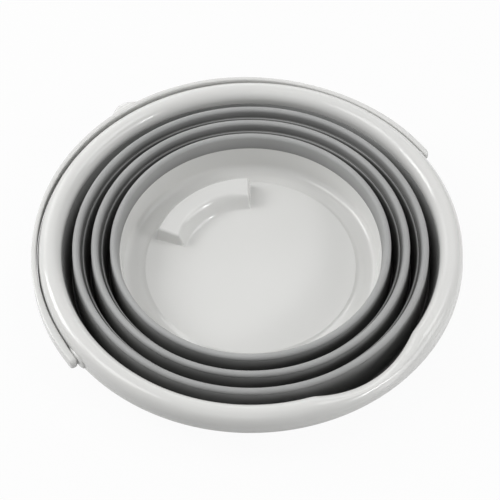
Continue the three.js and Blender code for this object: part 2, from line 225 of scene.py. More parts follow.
def bellows_rubber(name, shade_fades_from, shade_fades_to, lip_radius=None):
    """Rubber with painted shade, deep grey low down and paler above, and a painted highlight on a lip."""
    material, start, where = new_material(name)
    cloud = noise(where, scale=22.0, detail=4.0)
    grain = noise(where, scale=1500.0)
    patches = cloud.step(0.28, 0.72)
    x = where.node("ShaderNodeSeparateXYZ", {}, {0: where})
    y, height = x.other("Y"), x.other("Z")
    # Painted shade: darker below the given heights, where the valleys lie in shade.
    shade_and_highlight = height.step(shade_fades_from * MM, shade_fades_to * MM)
    if lip_radius:
        beside = x.maths("ABSOLUTE", x.maths("SQRT", x * x + y * y) - lip_radius * MM)
        # Painted highlight: a pale line along the lip, where light catches it.
        lip_highlight = (1 - beside.step(*LIP_HIGHLIGHT_WIDTHS)) * height.step(*LIP_HIGHLIGHT_HEIGHTS)
        shade_and_highlight = x.maths("MAXIMUM", shade_and_highlight, lip_highlight)
    colour = mixed(shade_and_highlight, mixed(patches, *SHADE_PAINTED_TINTS), mixed(patches, *PALE_TINTS))
    roughness = 0.46 + 0.08 * cloud + 0.05 * grain
    relief = grain + 0.6 * noise(where, scale=420.0)
    finish_surface(start, colour, roughness, relief, GRAIN_DEPTH, IOR=1.48)
    return material


shell = shell_plastic()
# Heights in mm over which the painted shade low in each piece fades out.
fold_rubber = bellows_rubber("bellows_fold", shade_fades_from=21.0, shade_fades_to=38.0)
collar_rubber = bellows_rubber("bellows_collar", shade_fades_from=8.0, shade_fades_to=38.0)
wall_rubber = bellows_rubber("bellows_wall", shade_fades_from=7.0, shade_fades_to=26.0)
print("finishes", [m.name for m in (shell, fold_rubber, collar_rubber, wall_rubber)])

# %% [markdown]
# ## Outlines with rounded corners
# Everything turned about the axis starts as an outline in (radius, height). Written as corners with a
# rounding each, an outline stays readable. The helper swaps each corner for an arc and sets one more
# point close beside it, so that smooth shading keeps flat faces flat right up to the round.

# %% Outline helpers
ARC_STEP = math.radians(11)
BESIDE_SHARE = 0.25
BESIDE_MOST = 0.6


def arc(r, z, radius, start, end):
    """Plain points along an arc in (radius, height), angles in degrees from +radius towards +height."""
    steps = max(2, math.ceil(abs(math.radians(end - start)) / ARC_STEP))
    turns = np.radians(np.linspace(start, end, steps + 1))
    return [(r + radius * math.cos(t), z + radius * math.sin(t)) for t in turns]


def round_corner(before, corner, after, radius):
    """Arc that takes the place of one corner, with a point close beside each end of it."""
    here = np.array(corner)
    ins, out = np.array(before) - here, np.array(after) - here
    ins, out = ins / np.linalg.norm(ins), out / np.linalg.norm(out)
    half = math.acos(np.clip(ins @ out, -1, 1)) / 2
    cut = radius / math.tan(half)
    middle = here + (ins + out) / np.linalg.norm(ins + out) * radius / math.sin(half)
    first, last = here + ins * cut - middle, here + out * cut - middle
    turn = math.pi - 2 * half
    steps = max(2, math.ceil(turn / ARC_STEP))
    shares = [k / steps for k in range(steps + 1)]
    weights = [(math.sin((1 - s) * turn), math.sin(s * turn)) for s in shares]
    points = [middle + (a * first + b * last) / math.sin(turn) for a, b in weights]
    beside = min(BESIDE_SHARE * radius, BESIDE_MOST)
    return [here + ins * (cut + beside), *points, here + out * (cut + beside)]


def outline(*corners, longest=None):
    """Closed outline from corners (r, z) or (r, z, rounding), with long straights cut up if asked."""
    points = []
    count = len(corners)
    for i, (r, z, *radius) in enumerate(corners):
        if radius:
            before, after = corners[i - 1][:2], corners[(i + 1) % count][:2]
            points.extend(round_corner(before, (r, z), after, radius[0]))
        else:
            points.append(np.array((r, z)))
    if longest:
        cut = []
        for a, b in zip(points, points[1:] + points[:1]):
            pieces = max(1, math.ceil(np.linalg.norm(b - a) / longest))
            cut.extend(a + (b - a) * k / pieces for k in range(pieces))
        points = cut
    return np.array(points)


sample = outline((0, 0), (10, 0, 2), (10, 10, 2), (0, 10))
print("outline helper: a plate with two round corners takes", len(sample), "points")

# %% [markdown]
# ## Turning an outline with Geometry Nodes
# The pleats repeat one rule: an outline carried round a circle. A lathe by hand, the Screw modifier or a
# node tree can all do it. A node tree is chosen because its sizes stay named inputs. The outline is the
# object's own edges, and Curve to Mesh sweeps them round a circle whose normals lie flat.

# %% Turning tree
def new_tree(name, inputs):
    tree = bpy.data.node_groups.new(name, "GeometryNodeTree")
    tree.interface.new_socket("Geometry", in_out="OUTPUT", socket_type="NodeSocketGeometry")
    tree.interface.new_socket("Geometry", in_out="INPUT", socket_type="NodeSocketGeometry")
    for label, kind in inputs.items():
        tree.interface.new_socket(label, in_out="INPUT", socket_type="NodeSocket" + kind)
    return tree, Field(tree).node("NodeGroupInput")


def end_tree(given, shape):
    smooth = shape.node("GeometryNodeSetShadeSmooth", {}, {"Geometry": shape})
    whole = smooth.node("GeometryNodeRealizeInstances", {}, {"Geometry": smooth})
    made = whole.node("GeometryNodeSetMaterial", {}, {"Geometry": whole, "Material": given.other("Material")})
    made.node("NodeGroupOutput", {}, {"Geometry": made})


def swept(given):
    """Outline edges carried round a circle of the tree's Path Radius."""
    profile = given.node("GeometryNodeMeshToCurve", {}, {"Mesh": given})
    sizes = {"Resolution": given.other("Segments"), "Radius": given.other("Path Radius")}
    circle = given.node("GeometryNodeCurvePrimitiveCircle", {"mode": "RADIUS"}, sizes)
    circle = circle.node("GeometryNodeSetCurveNormal", {"mode": "Z_UP"}, {"Curve": circle})
    ring = circle.node("GeometryNodeCurveToMesh", {}, {"Curve": circle, "Profile Curve": profile})
    return ring.node("GeometryNodeFlipFaces", {}, {"Mesh": ring})


TURNED_INPUTS = {"Path Radius": "Float", "Segments": "Int", "Material": "Material"}
turned_tree, given = new_tree("turned_ring", TURNED_INPUTS)
end_tree(given, swept(given))
print("tree", turned_tree.name, "with", len(turned_tree.nodes), "nodes")

# %% [markdown]
# ## Running a tree and placing a piece
# A tree needs an object to run on. Here that object's mesh is only the edges of an outline or a path. Its
# sizes are set by socket identifier, the result is taken as a plain mesh, and the modifier goes. Applying the
# modifier by hand would give the same mesh, but one piece at a time.

# %% Running a tree on edges
def edge_object(name, points, closed):
    """Object whose mesh is a chain of edges through the points."""
    count = len(points)
    pairs = [(i, (i + 1) % count) for i in range(count if closed else count - 1)]
    mesh = bpy.data.meshes.new(name)
    mesh.from_pydata([tuple(p) for p in points], pairs, [])
    made = bpy.data.objects.new(name, mesh)
    scene.collection.objects.link(made)
    return made


def run_tree(made, tree, **sizes):
    """Runs a tree on an object with the sizes given, and leaves the object with the plain result."""
    modifier = made.modifiers.new(tree.name, "NODES")
    modifier.node_group = tree
    for item in tree.interface.items_tree:
        if item.in_out == "INPUT" and item.name != "Geometry":
            modifier[item.identifier] = sizes[item.name.replace(" ", "_").lower()]
    depsgraph = bpy.context.evaluated_depsgraph_get()
    mesh = bpy.data.meshes.new_from_object(made.evaluated_get(depsgraph))
    made.modifiers.clear()
    made.data = mesh
    return made


def turned(name, points, tree=turned_tree, segments=240, **sizes):
    """Piece turned from an outline in millimetres. A sweep takes its outline's y downwards."""
    path = float(points[:, 0].mean())
    local = np.column_stack([points[:, 0] - path, -points[:, 1], np.zeros(len(points))]) * MM
    made = edge_object(name, local, closed=True)
    return run_tree(made, tree, path_radius=path * MM, segments=segments, **sizes)


def place(made, body, slot, *nodes):
    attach(made, body)
    if nodes:
        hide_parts(*nodes)
    corners = np.array(made.bound_box) / MM
    low, high = corners.min(0), corners.max(0)
    print(made.name, len(made.data.polygons), "faces, from", low.round(1), "to", high.round(1), "mm")


print("ready to turn")

# %% [markdown]
# ## Sizes of the pleats
# Three crests stand 14.25 mm apart. Each is a rounded nose on a thin neck. Inside the nose runs a groove and
# a small lip, and from the lip the stiff wall goes down to the valley. All pieces share these numbers,
# so they are named once.

# %% Pleat sizes
FLOOR_TOP = 2.8
MOUTH = (100.1, 22.3)
PITCH = 14.25
NOSE = 2.7
CREST_Z = 35.1
FIRST_CREST = 104.0
NOSE_Z = CREST_Z - NOSE
HEAD_Z = 31.4
EDGE_INSET = 6.9
RING_WALL = 3.0
RING_LEAN = 1.7
RING_BOTTOM = 3.3
WEB_WALL = 1.2
WEB_FOOT = 1.8
crests = [FIRST_CREST + i * PITCH for i in range(4)]
wall_feet = [c - EDGE_INSET - RING_LEAN for c in crests]


def touch_angle(run, rise, radius):
    """Angle, in degrees, at which a line from a point touches the upper inner side of a circle."""
    return 360 + math.degrees(math.atan2(rise, run) - math.acos(radius / math.hypot(run, rise)))


def nose(crest, foot):
    """Points over a rounded crest, from its outer side to where the flank to the foot leaves it."""
    end = touch_angle(foot[0] - crest, foot[1] - NOSE_Z, NOSE)
    return arc(crest, NOSE_Z, NOSE, 0, end)


print("crests at", crests[:3], "valleys at", [round(f, 2) for f in wall_feet[1:]])

# %% [markdown]
# ## Stiff walls of the bellows
# The innermost wall grips a tongue on the base, the outermost grips one on the rim, and two free rings lie
# between them. In the real bucket these walls and the thin webs are one moulding. They are separate here
# because the walls keep their shape while the webs turn inside out.

# %% Base collar and rings
MOUTH_LEAN = -math.tan(math.radians(touch_angle(MOUTH[0] - crests[0], MOUTH[1] - NOSE_Z, NOSE)))
SLEEVE = (103.1, 104.1)
SLEEVE_FOOT = 20.3
COLLAR_EDGE = 22.4
COLLAR_WALL = 4.0
SLOT = (1.0, 3.0)
SLOT_TOP = 27.6
GROOVE_INSET = 3.3
GROOVE_DROP = 8.8
LIP_STEP = 1.7
LIP_RISE = 2.0
RING_BACK = 2.5


def mouth_face(z):
    """Radius of the collar's inner face at a height."""
    return MOUTH[0] + MOUTH_LEAN * (z - MOUTH[1])


collar_outline = outline(
    (SLEEVE[1], SLEEVE_FOOT, 0.4), (SLEEVE[1], MOUTH[1]), (mouth_face(HEAD_Z) + COLLAR_WALL, HEAD_Z),
    (crests[0] + NOSE, HEAD_Z), *nose(crests[0], MOUTH), (mouth_face(COLLAR_EDGE), COLLAR_EDGE, 0.2),
    (mouth_face(COLLAR_EDGE) + SLOT[0], COLLAR_EDGE), (mouth_face(SLOT_TOP) + SLOT[0], SLOT_TOP),
    (mouth_face(SLOT_TOP) + SLOT[1], SLOT_TOP), (SLEEVE[0], MOUTH[1]), (SLEEVE[0], SLEEVE_FOOT, 0.3))
place(turned("bellows_collar", collar_outline, material=collar_rubber), "base", "bellows", "base_collar")


def ring_outline(i):
    """A stiff ring: its wall, the neck behind it, the nose, the groove and the lip."""
    crest, foot = crests[i], wall_feet[i]
    groove = (crest - GROOVE_INSET, CREST_Z - GROOVE_DROP)
    top = crest - EDGE_INSET
    back = groove[0] + RING_BACK
    return outline(
        (foot + RING_WALL, RING_BOTTOM, 0.6), (top + RING_WALL, groove[1] - 6, 4), (back, groove[1] - 3, 2),
        (back, HEAD_Z), (crest + NOSE, HEAD_Z), *nose(crest, groove), (*groove, 0.6),
        (groove[0] - LIP_STEP, groove[1] + LIP_RISE, 0.25), (top + 1.0, groove[1] + 0.7, 0.3),
        (foot, RING_BOTTOM, 0.6))


for i, name in ((1, "lower_ring"), (2, "upper_ring")):
    lip_radius = crests[i] - GROOVE_INSET - LIP_STEP
    # Painted shade low down, and a painted highlight on the ring's lip.
    ring_rubber = bellows_rubber("bellows_" + name, shade_fades_from=25.0, shade_fades_to=37.0, lip_radius=lip_radius)
    place(turned("bellows_" + name, ring_outline(i), material=ring_rubber), name, "bellows", name)

# %% [markdown]
# ## Thin webs
# A web hangs from each crest down to the foot of the next wall. When a pleat is pulled open the foot rises
# past the crest and the web turns inside out. Shape keys could bend it, but they would have to be set for
# every pose. Here its points are spread evenly up its height, and its upper edge is tucked into the nose, so
# no seam shows.

# %% Webs
WEB_BODIES = (("lower_fold", "lower_ring", "base"), ("middle_fold", "upper_ring", "lower_ring"),
              ("upper_fold", "rim", "upper_ring"))
WEB_TOP = 31.7
VALLEY_STEP = 1.0
TUCK = 0.02


def web_outline(i):
    """A thin web from its hook under the next wall up to the nose."""
    hook = wall_feet[i + 1] + RING_WALL
    foot = wall_feet[i + 1] - VALLEY_STEP
    top = crests[i] + NOSE - TUCK
    return outline(
        (hook, WEB_FOOT, 0.4), (hook, WEB_FOOT + WEB_WALL, 0.3), (foot, WEB_FOOT + WEB_WALL, 0.9),
        (top, WEB_TOP), (top - WEB_WALL, WEB_TOP), (foot - WEB_WALL, WEB_FOOT, 1.2), longest=1.0)


for i, (node, outer, inner) in enumerate(WEB_BODIES):
    web = turned("bellows_" + node, web_outline(i), segments=192, material=fold_rubber)
    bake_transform(web)
    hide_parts(node)
    print(web.name, "bends between", outer, "and", inner, "with", len(web.data.vertices), "points")

# %% [markdown]
# ## Rim with a pouring spout
# The rim is a rolled top over a short skirt, hollow underneath. Turning gives a plain round rim, and two
# rules after the sweep give it its own shape. Within 18.5 degrees of the front the top sinks and its inner
# side moves outwards, most in the middle: that is the spout, and the wall under the rim follows it. Towards
# the back the bead at the skirt's foot widens into a ledge, where the folded bail lies beside it. Both could
# be sculpted by hand, but a Set Position node keeps them as named sizes.

# %% Rim tree
SPOUT_SIZES = ("Half Angle", "Dip", "Dip Low", "Dip High",
               "Reach", "Reach Low", "Reach High", "Inside", "Outside")
LEDGE_SIZES = ("Ledge", "Ledge Lift", "Ledge Low", "Ledge High")
RIM_INPUTS = {label: "Float" for label in SPOUT_SIZES + LEDGE_SIZES}


def rim_rule(given, ring):
    """Sinks the front by Dip and opens it by Reach, and widens the bead by Ledge towards the back."""
    x = ring.node("ShaderNodeSeparateXYZ", {}, {0: ring.node("GeometryNodeInputPosition")})
    y, z = x.other("Y"), x.other("Z")
    radius = x.maths("SQRT", x * x + y * y)
    angle = x.maths("ARCTAN2", x.maths("ABSOLUTE", x), 0 - y)
    share = x.maths("MINIMUM", angle / given.other("Half Angle"), 1.0)
    middle = x.maths("COSINE", share * (math.pi / 2))
    inner = 1 - radius.step(given.other("Inside"), given.other("Outside"))
    moved = z.step(given.other("Reach Low"), given.other("Reach High")) * inner
    opened = given.other("Reach") * middle * moved
    dip = given.other("Dip") * middle * z.step(given.other("Dip Low"), given.other("Dip High"))
    back = x.maths("MAXIMUM", y / radius, 0.0)
    ledge = radius.step(given.other("Ledge Low"), given.other("Ledge High")) * back
    grown = 1 + (opened + given.other("Ledge") * ledge) / radius
    height = z - dip + given.other("Ledge Lift") * ledge
    spot = x.node("ShaderNodeCombineXYZ", {}, {0: x * grown, 1: y * grown, 2: height})
    return ring.node("GeometryNodeSetPosition", {}, {"Geometry": ring, "Position": spot})


rim_tree, given = new_tree("spouted_ring", {**TURNED_INPUTS, **RIM_INPUTS})
end_tree(given, rim_rule(given, swept(given)))
print("tree", rim_tree.name, "with", len(rim_tree.nodes), "nodes")

# %% Wall under the rim
RIM_EDGE = (143.4, 27.3)
ROLL = (152.2, 30.6, 8.7)
RIM_RADIUS = ROLL[0] + ROLL[2]
WALL_TOP = 27.2
WALL_BACK = 4.0
STEP_Z = (20, 21)
SLOT_FLOOR = 22
RIM_SIZES = dict(
    half_angle=math.radians(18.5), dip=5.0 * MM, dip_low=RIM_EDGE[1] * MM, dip_high=(ROLL[1] + ROLL[2]) * MM,
    reach=5.8 * MM, reach_low=11 * MM, reach_high=27 * MM, inside=147.5 * MM, outside=RIM_RADIUS * MM,
    ledge=1.2 * MM, ledge_lift=2 * MM, ledge_low=(RIM_RADIUS + 0.05) * MM, ledge_high=(RIM_RADIUS + 0.3) * MM)


def under_rim(z):
    """Radius of the wall's inner face at a height."""
    share = (RIM_EDGE[1] - z) / (RIM_EDGE[1] - RING_BOTTOM)
    return RIM_EDGE[0] + (wall_feet[3] - RIM_EDGE[0]) * share


rim_wall_outline = outline(
    (under_rim(RING_BOTTOM) + RING_WALL, RING_BOTTOM, 0.6), (under_rim(STEP_Z[0]) + RING_WALL, STEP_Z[0]),
    (under_rim(STEP_Z[1]) + WALL_BACK, STEP_Z[1]), (under_rim(WALL_TOP) + WALL_BACK, WALL_TOP),
    (under_rim(WALL_TOP) + SLOT[1], WALL_TOP), (under_rim(SLOT_FLOOR) + SLOT[1], SLOT_FLOOR),
    (under_rim(SLOT_FLOOR) + SLOT[0], SLOT_FLOOR), (under_rim(WALL_TOP) + SLOT[0], WALL_TOP),
    (under_rim(WALL_TOP), WALL_TOP, 0.2), (under_rim(RING_BOTTOM), RING_BOTTOM, 0.6))
rim_wall = turned("bellows_rim_wall", rim_wall_outline, rim_tree, material=wall_rubber, **RIM_SIZES)
place(rim_wall, "rim", "bellows", "rim_collar")

# %% Rim
RIM_WALL = 2.2
SKIRT_Z = 24.4
BEAD_RADIUS = RIM_RADIUS + 0.6
TONGUE = (1.3, 2.7)
TONGUE_END = 22.3
roll_end = touch_angle(RIM_EDGE[0] - ROLL[0], RIM_EDGE[1] - ROLL[1], ROLL[2])
hollow = ROLL[2] - RIM_WALL
tongue_back = RIM_EDGE[0] + TONGUE[1]
hollow_start = math.degrees(math.acos((tongue_back - ROLL[0]) / hollow))
rim_outline = outline(
    (BEAD_RADIUS, SKIRT_Z, 0.4), (BEAD_RADIUS, SKIRT_Z + 1, 0.4), (RIM_RADIUS, SKIRT_Z + 1.9, 0.6),
    *arc(*ROLL, 0, roll_end), (*RIM_EDGE, 0.5), (RIM_EDGE[0] + TONGUE[0], RIM_EDGE[1]),
    (under_rim(TONGUE_END) + TONGUE[0], TONGUE_END), (under_rim(TONGUE_END) + TONGUE[1], TONGUE_END),
    (tongue_back, RIM_EDGE[1]), *arc(ROLL[0], ROLL[1], hollow, hollow_start, 0),
    (RIM_RADIUS + 0.1 - RIM_WALL, SKIRT_Z, 0.7))
rim = turned("rim_moulding", rim_outline, rim_tree, segments=360, material=shell, **RIM_SIZES)
place(rim, "rim", "shell", "rim")

# %% [markdown]
# ## Base dish with a finger grip
# The base is a moulded dish: a raised round floor, a shallow channel round it, a cove and a steep wall. A
# grip for the fingers is pressed up into the floor from below. Its front is a soft slope up to a rounded
# shoulder, and its back and ends are steep. Turning can't make the grip, and a boolean cut would leave poor
# faces round it. So the base is a grid in mesh code, with rows and angles closer together at the grip's
# edges, and one smooth rule lifts the floor.

# %% Grip rule
GRIP_HALF = math.radians(35.6)
GRIP_MIDDLE = 66.0
GRIP_HEIGHT = 13.2
GRIP_SHOULDER = 10.4
GRIP_FRONT = 53.6
GRIP_BACK = 76.2
FRONT_RUN = 7
FRONT_EXTRA = 3.5
FRONT_EARLY = 0.4
TOP_START = 57
TOP_RUN = 18
END_BLEND = 0.35
END_MARGIN = 0.6
LEAST_SIDE = 3.2
FLAT_UNTIL = 53


def smooth(t):
    t = np.clip(t, 0, 1)
    return t * t * (3 - 2 * t)


def steep_side(depth, height, draft=0.9, top=2.2, foot=0.8):
    """Height near a steep side with a rounded top edge and foot, at a depth inside that side."""
    over = height - top + np.sqrt(np.clip(top ** 2 - (top - np.clip(depth, 0, top)) ** 2, 0, None))
    face = foot + (height - top - foot) * np.clip(depth / draft + 1, 0, 1)
    low = foot - np.sqrt(np.clip(foot ** 2 - np.clip(depth + draft + foot, 0, foot) ** 2, 0, None))
    return np.where(depth >= 0, over, np.where(depth > -draft, face, low))


def grip_lift(r, turn, inset):
    """Height of the grip at a radius and an angle from the back, drawn in by an inset for its underside."""
    from_end = GRIP_HALF - np.abs(turn)
    soft = smooth(from_end / END_BLEND)
    rise = np.clip((r - GRIP_FRONT + FRONT_EARLY * soft - inset) / (FRONT_RUN + FRONT_EXTRA * soft), 0, 1)
    front = GRIP_SHOULDER * np.sin(math.pi / 2 * rise ** 0.8) ** 2
    top = front + (GRIP_HEIGHT - GRIP_SHOULDER) * np.clip((r - TOP_START - inset) / TOP_RUN, 0, 1)
    edge = np.maximum(top, LEAST_SIDE)
    back = steep_side(GRIP_BACK - inset - r, edge)
    ends = steep_side(from_end * GRIP_MIDDLE - END_MARGIN - inset, edge)
    return np.minimum(np.minimum(top, back), ends) * (r > FLAT_UNTIL + inset)


print("grip of", round(2 * math.degrees(GRIP_HALF), 1), "degrees,", GRIP_HEIGHT, "mm above the floor")

# %% Base grid
TONGUE_TOP = 27.3
DISH_OUTER = 102.8
ON_FLOOR = 70
front_rows = np.arange(GRIP_FRONT, 62, 0.4)
top_rows = np.arange(62, 71.4, 0.9)
back_rows = np.arange(71.6, 77.9, 0.15)
floor_rows = np.concatenate([[9, 16, 26, 36, 46, 52], front_rows, top_rows, back_rows, [79]])
# A shallow round mark under the middle, where the plastic came in.
gate_mark = [(0, 0.1), (1.2, 0.1), (1.5, 0.3), (1.8, 0.5), (5.2, 0.5), (5.8, 0.3), (6.4, 0.05), (7, 0)]
# The first and last corners only give their neighbours a direction.
dish_wall = outline(
    (ON_FLOOR, 0), (100.2, 0, 6.6), (DISH_OUTER, SLEEVE_FOOT, 0.5), (DISH_OUTER, MOUTH[1]),
    (mouth_face(TONGUE_TOP) + TONGUE[1], TONGUE_TOP), (mouth_face(TONGUE_TOP) + TONGUE[0], TONGUE_TOP),
    (MOUTH[0] + TONGUE[0], MOUTH[1]), (*MOUTH, 0.6), (97.7, 1.2, 5.6), (90.5, 0.7, 12), (84, 1.6, 7),
    (81.5, FLOOR_TOP, 1.6), (ON_FLOOR, FLOOR_TOP))[1:-1]
rows = [(r, z, 0) for r, z in gate_mark]
rows += [(r, 0.0, -1) for r in floor_rows]
rows += [(r, z, 0) for r, z in dish_wall]
rows += [(r, FLOOR_TOP, 1) for r in floor_rows[::-1]] + [(0, FLOOR_TOP, 0)]
even = np.radians(np.arange(-180, 180, 1.5))
close = np.radians(np.arange(31.2, 36.6, 0.12))
turns = np.unique(np.concatenate([even, close, -close]).round(6))
print("base grid of", len(rows), "rows and", len(turns), "angles")

# %% Base piece
def grid_piece(name, points, material):
    """Closed piece from rows of points, each row a ring. The first and last rows are single points."""
    count = len(points[1])
    verts = [points[0][0], *(p for ring in points[1:-1] for p in ring), points[-1][0]]
    last = len(verts) - 1
    faces = []
    for i in range(len(points) - 3):
        for j in range(count):
            k = (j + 1) % count
            a, b = 1 + i * count, 1 + (i + 1) * count
            faces.append((a + j, a + k, b + k, b + j))
    top = 1 + (len(points) - 3) * count
    for j in range(count):
        k = (j + 1) % count
        faces.append((0, 1 + k, 1 + j))
        faces.append((top + j, top + k, last))
    mesh = bpy.data.meshes.new(name)
    mesh.from_pydata([tuple(v) for v in verts], [], faces)
    mesh.shade_smooth()
    mesh.materials.append(material)
    made = bpy.data.objects.new(name, mesh)
    scene.collection.objects.link(made)
    return made


base_points = []
for r, z, side in rows:
    lift = 0 if side == 0 else grip_lift(r, turns, FLOOR_TOP if side < 0 else 0.0)
    height = (z + lift) * np.ones(len(turns))
    base_points.append(np.column_stack([-r * np.sin(turns), r * np.cos(turns), height]) * MM)
place(grid_piece("base_dish", base_points, shell), "base", "shell", "base")

# %% [markdown]
# ## Bail handle
# The bail is a flat strip that lies round the back of the rim. It thickens towards its ends, where it stands
# off the pivot bosses, the right end a little further than the left. A thumb tab sits just to one side of
# its middle. A Curve object with a bevel could be the strip, but not its tab and round ends. So Geometry
# Nodes sweep a rounded rectangle along a path, and the distance along it rounds the ends and draws the tab.

# %% Bail path
PIVOT = Vector((0, -7.0, 26.0))
BAIL_TILT = math.radians(2.25)
BAIL_THICK = 3.3
BAIL_HIGH = 9.5
BAIL_CENTRE = 1.2
BAIL_INNER = RIM_RADIUS + 0.8
LUG_OUTER = RIM_RADIUS + 7.1
LUG_FACE = {"right": 2.6, "left": 1.5}
LUG_RUN = {"right": 105, "left": 12}
LUG_START = 5
THIN_START = 7.5
THIN_RUN = 115
END_INSET = 0.1
BACK_POINTS = 70


def bail_station(from_pivot, side):
    """Middle of the strip and its thickness on one half, at a distance behind the pivot line."""
    angle = math.asin((from_pivot + PIVOT.y - BAIL_CENTRE) / BAIL_INNER)
    straight = 1 / math.cos(min(angle, 0))
    inner = (RIM_RADIUS + LUG_FACE[side]) * straight
    inner += (BAIL_INNER - inner) * float(smooth((from_pivot - LUG_START) / LUG_RUN[side]))
    outer = LUG_OUTER * straight
    outer += (BAIL_INNER + BAIL_THICK - outer) * float(smooth((from_pivot - THIN_START) / THIN_RUN))
    radius = (inner + outer) / 2
    return radius * math.cos(angle), BAIL_CENTRE + radius * math.sin(angle), PIVOT.z, outer - inner


end_part = [-BAIL_HIGH / 2 + END_INSET + d for d in np.arange(0, 6, 0.3)]
side_part = list(np.arange(1.5, 124.5, 2.0))
last_angle = math.asin((side_part[-1] + PIVOT.y - BAIL_CENTRE) / BAIL_INNER)
back_radius = BAIL_INNER + BAIL_THICK / 2
halves = {}
for side in LUG_FACE:
    halves[side] = [bail_station(d, side) for d in end_part + side_part]
    for angle in np.linspace(last_angle, math.pi / 2, BACK_POINTS)[1:]:
        x, y = back_radius * math.cos(angle), BAIL_CENTRE + back_radius * math.sin(angle)
        halves[side].append((x, y, PIVOT.z, BAIL_THICK))
mirrored = [(-x, y, z, thick) for x, y, z, thick in halves["left"][-2::-1]]
bail_path = np.array(halves["right"] + mirrored)
print("bail path of", len(bail_path), "points")

# %% Bail tree
STRIP_SIZES = ("Thickness", "Height", "Corner", "End Inset")
TAB_SIZES = ("Tab Length", "Tab Shift", "Tab Reach", "Tab Low", "Tab High")
BAIL_INPUTS = {**{label: "Float" for label in STRIP_SIZES + TAB_SIZES}, "Material": "Material"}
CORNER_STEPS = 6
SECTION_STEP = 0.0004


def stored(shape, name, kind, value):
    inputs = {"Geometry": shape, "Name": name, "Value": value}
    return shape.node("GeometryNodeStoreNamedAttribute", {"data_type": kind, "domain": "POINT"}, inputs)


def named(shape, name, kind):
    return shape.node("GeometryNodeInputNamedAttribute", {"data_type": kind}, {"Name": name})


def round_end(distance, radius):
    """Share of the full size left at a distance from a round end."""
    short = 1 - distance.maths("MINIMUM", distance / radius, 1.0)
    return short.maths("SQRT", 1 - short * short)


bail_tree, given = new_tree("bail_strip", BAIL_INPUTS)
path = given.node("GeometryNodeMeshToCurve", {}, {"Mesh": given})
path = path.node("GeometryNodeSetCurveNormal", {"mode": "Z_UP"}, {"Curve": path})
along = path.node("GeometryNodeSplineParameter", output="Length")
total = path.node("GeometryNodeSplineLength", output="Length")
from_middle = along - total * 0.5
from_tip = total * 0.5 - along.maths("ABSOLUTE", from_middle)
path = stored(path, "from_middle", "FLOAT", from_middle - given.other("Tab Shift"))
path = stored(path, "from_end", "FLOAT", from_tip + given.other("End Inset"))
path = stored(path, "on_path", "FLOAT_VECTOR", path.node("GeometryNodeInputPosition"))
sizes = {"Width": given.other("Thickness"), "Height": given.other("Height")}
section = given.node("GeometryNodeCurvePrimitiveQuadrilateral", {"mode": "RECTANGLE"}, sizes)
sizes = {"Curve": section, "Count": CORNER_STEPS, "Radius": given.other("Corner")}
section = section.node("GeometryNodeFilletCurve", {"mode": "POLY"}, sizes)
sizes = {"Curve": section, "Length": SECTION_STEP}
section = section.node("GeometryNodeResampleCurve", {"mode": "LENGTH"}, sizes)
strip = path.node("GeometryNodeCurveToMesh", {}, {"Curve": path, "Profile Curve": section, "Fill Caps": True})
print("bail tree begun with", len(bail_tree.nodes), "nodes")

# %% Bail ends and tab
END_ROUND = 1.1
TAB_SOFT = 0.0006
TAB_FACE = (0.0006, 0.0018)
centre = named(strip, "on_path", "FLOAT_VECTOR")
terms = {0: strip.node("GeometryNodeInputPosition"), 1: centre}
offset = strip.node("ShaderNodeVectorMath", {"operation": "SUBTRACT"}, terms)
offset = strip.node("ShaderNodeSeparateXYZ", {}, {0: offset})
across, behind, high = offset, offset.other("Y"), offset.other("Z")
from_end = named(strip, "from_end", "FLOAT")
thin = round_end(from_end, given.other("Thickness") * END_ROUND) * named(strip, "widening", "FLOAT")
low = round_end(from_end, given.other("Height") * 0.5)
lens = strip.maths("ABSOLUTE", named(strip, "from_middle", "FLOAT")) / (given.other("Tab Length") * 0.5)
lens = lens.maths("COSINE", lens.maths("MINIMUM", lens, 1.0) * (math.pi / 2))
band = high.step(given.other("Tab Low") - TAB_SOFT, given.other("Tab Low") + TAB_SOFT)
band = band * (1 - high.step(given.other("Tab High") - TAB_SOFT, given.other("Tab High") + TAB_SOFT))
tab = given.other("Tab Reach") * lens * band * behind.step(*TAB_FACE)
spot = strip.node("ShaderNodeCombineXYZ", {}, {0: across * thin, 1: behind * thin + tab, 2: high * low})
spot = strip.node("ShaderNodeVectorMath", {"operation": "ADD"}, {0: spot, 1: centre})
strip = strip.node("GeometryNodeSetPosition", {}, {"Geometry": strip, "Position": spot})
for name in ("from_middle", "from_end", "on_path", "widening"):
    strip = strip.node("GeometryNodeRemoveAttribute", {}, {"Geometry": strip, "Name": name})
end_tree(given, strip)
print("tree", bail_tree.name, "with", len(bail_tree.nodes), "nodes")

# %% Bail piece
bail = edge_object("bail_handle", bail_path[:, :3] * MM, closed=False)
widening = bail.data.attributes.new("widening", "FLOAT", "POINT")
widening.data.foreach_set("value", bail_path[:, 3] / BAIL_THICK)
bail = run_tree(
    bail, bail_tree, thickness=BAIL_THICK * MM, height=BAIL_HIGH * MM, corner=1.1 * MM,
    end_inset=END_INSET * MM, tab_length=26 * MM, tab_shift=5 * MM, tab_reach=5.8 * MM,
    tab_low=-1.4 * MM, tab_high=3.4 * MM, material=shell)
tilt = Matrix.Rotation(BAIL_TILT, 4, "X")
bail.data.transform(Matrix.Translation(PIVOT * MM) @ tilt @ Matrix.Translation(-PIVOT * MM))
place(bail, "handle", "shell", "handle")

# %% [markdown]
# ## Pivots
# A long low boss stands out on each side of the rim, and a round peg on the inside of each bail end turns in
# it. A scaled cylinder with a bevel would come close, but rings of points about the pivot line give the boss
# its domed face and its hole in one closed mesh. The peg can only be seen through the narrow gap beside the
# boss, but the gap would look empty without it.

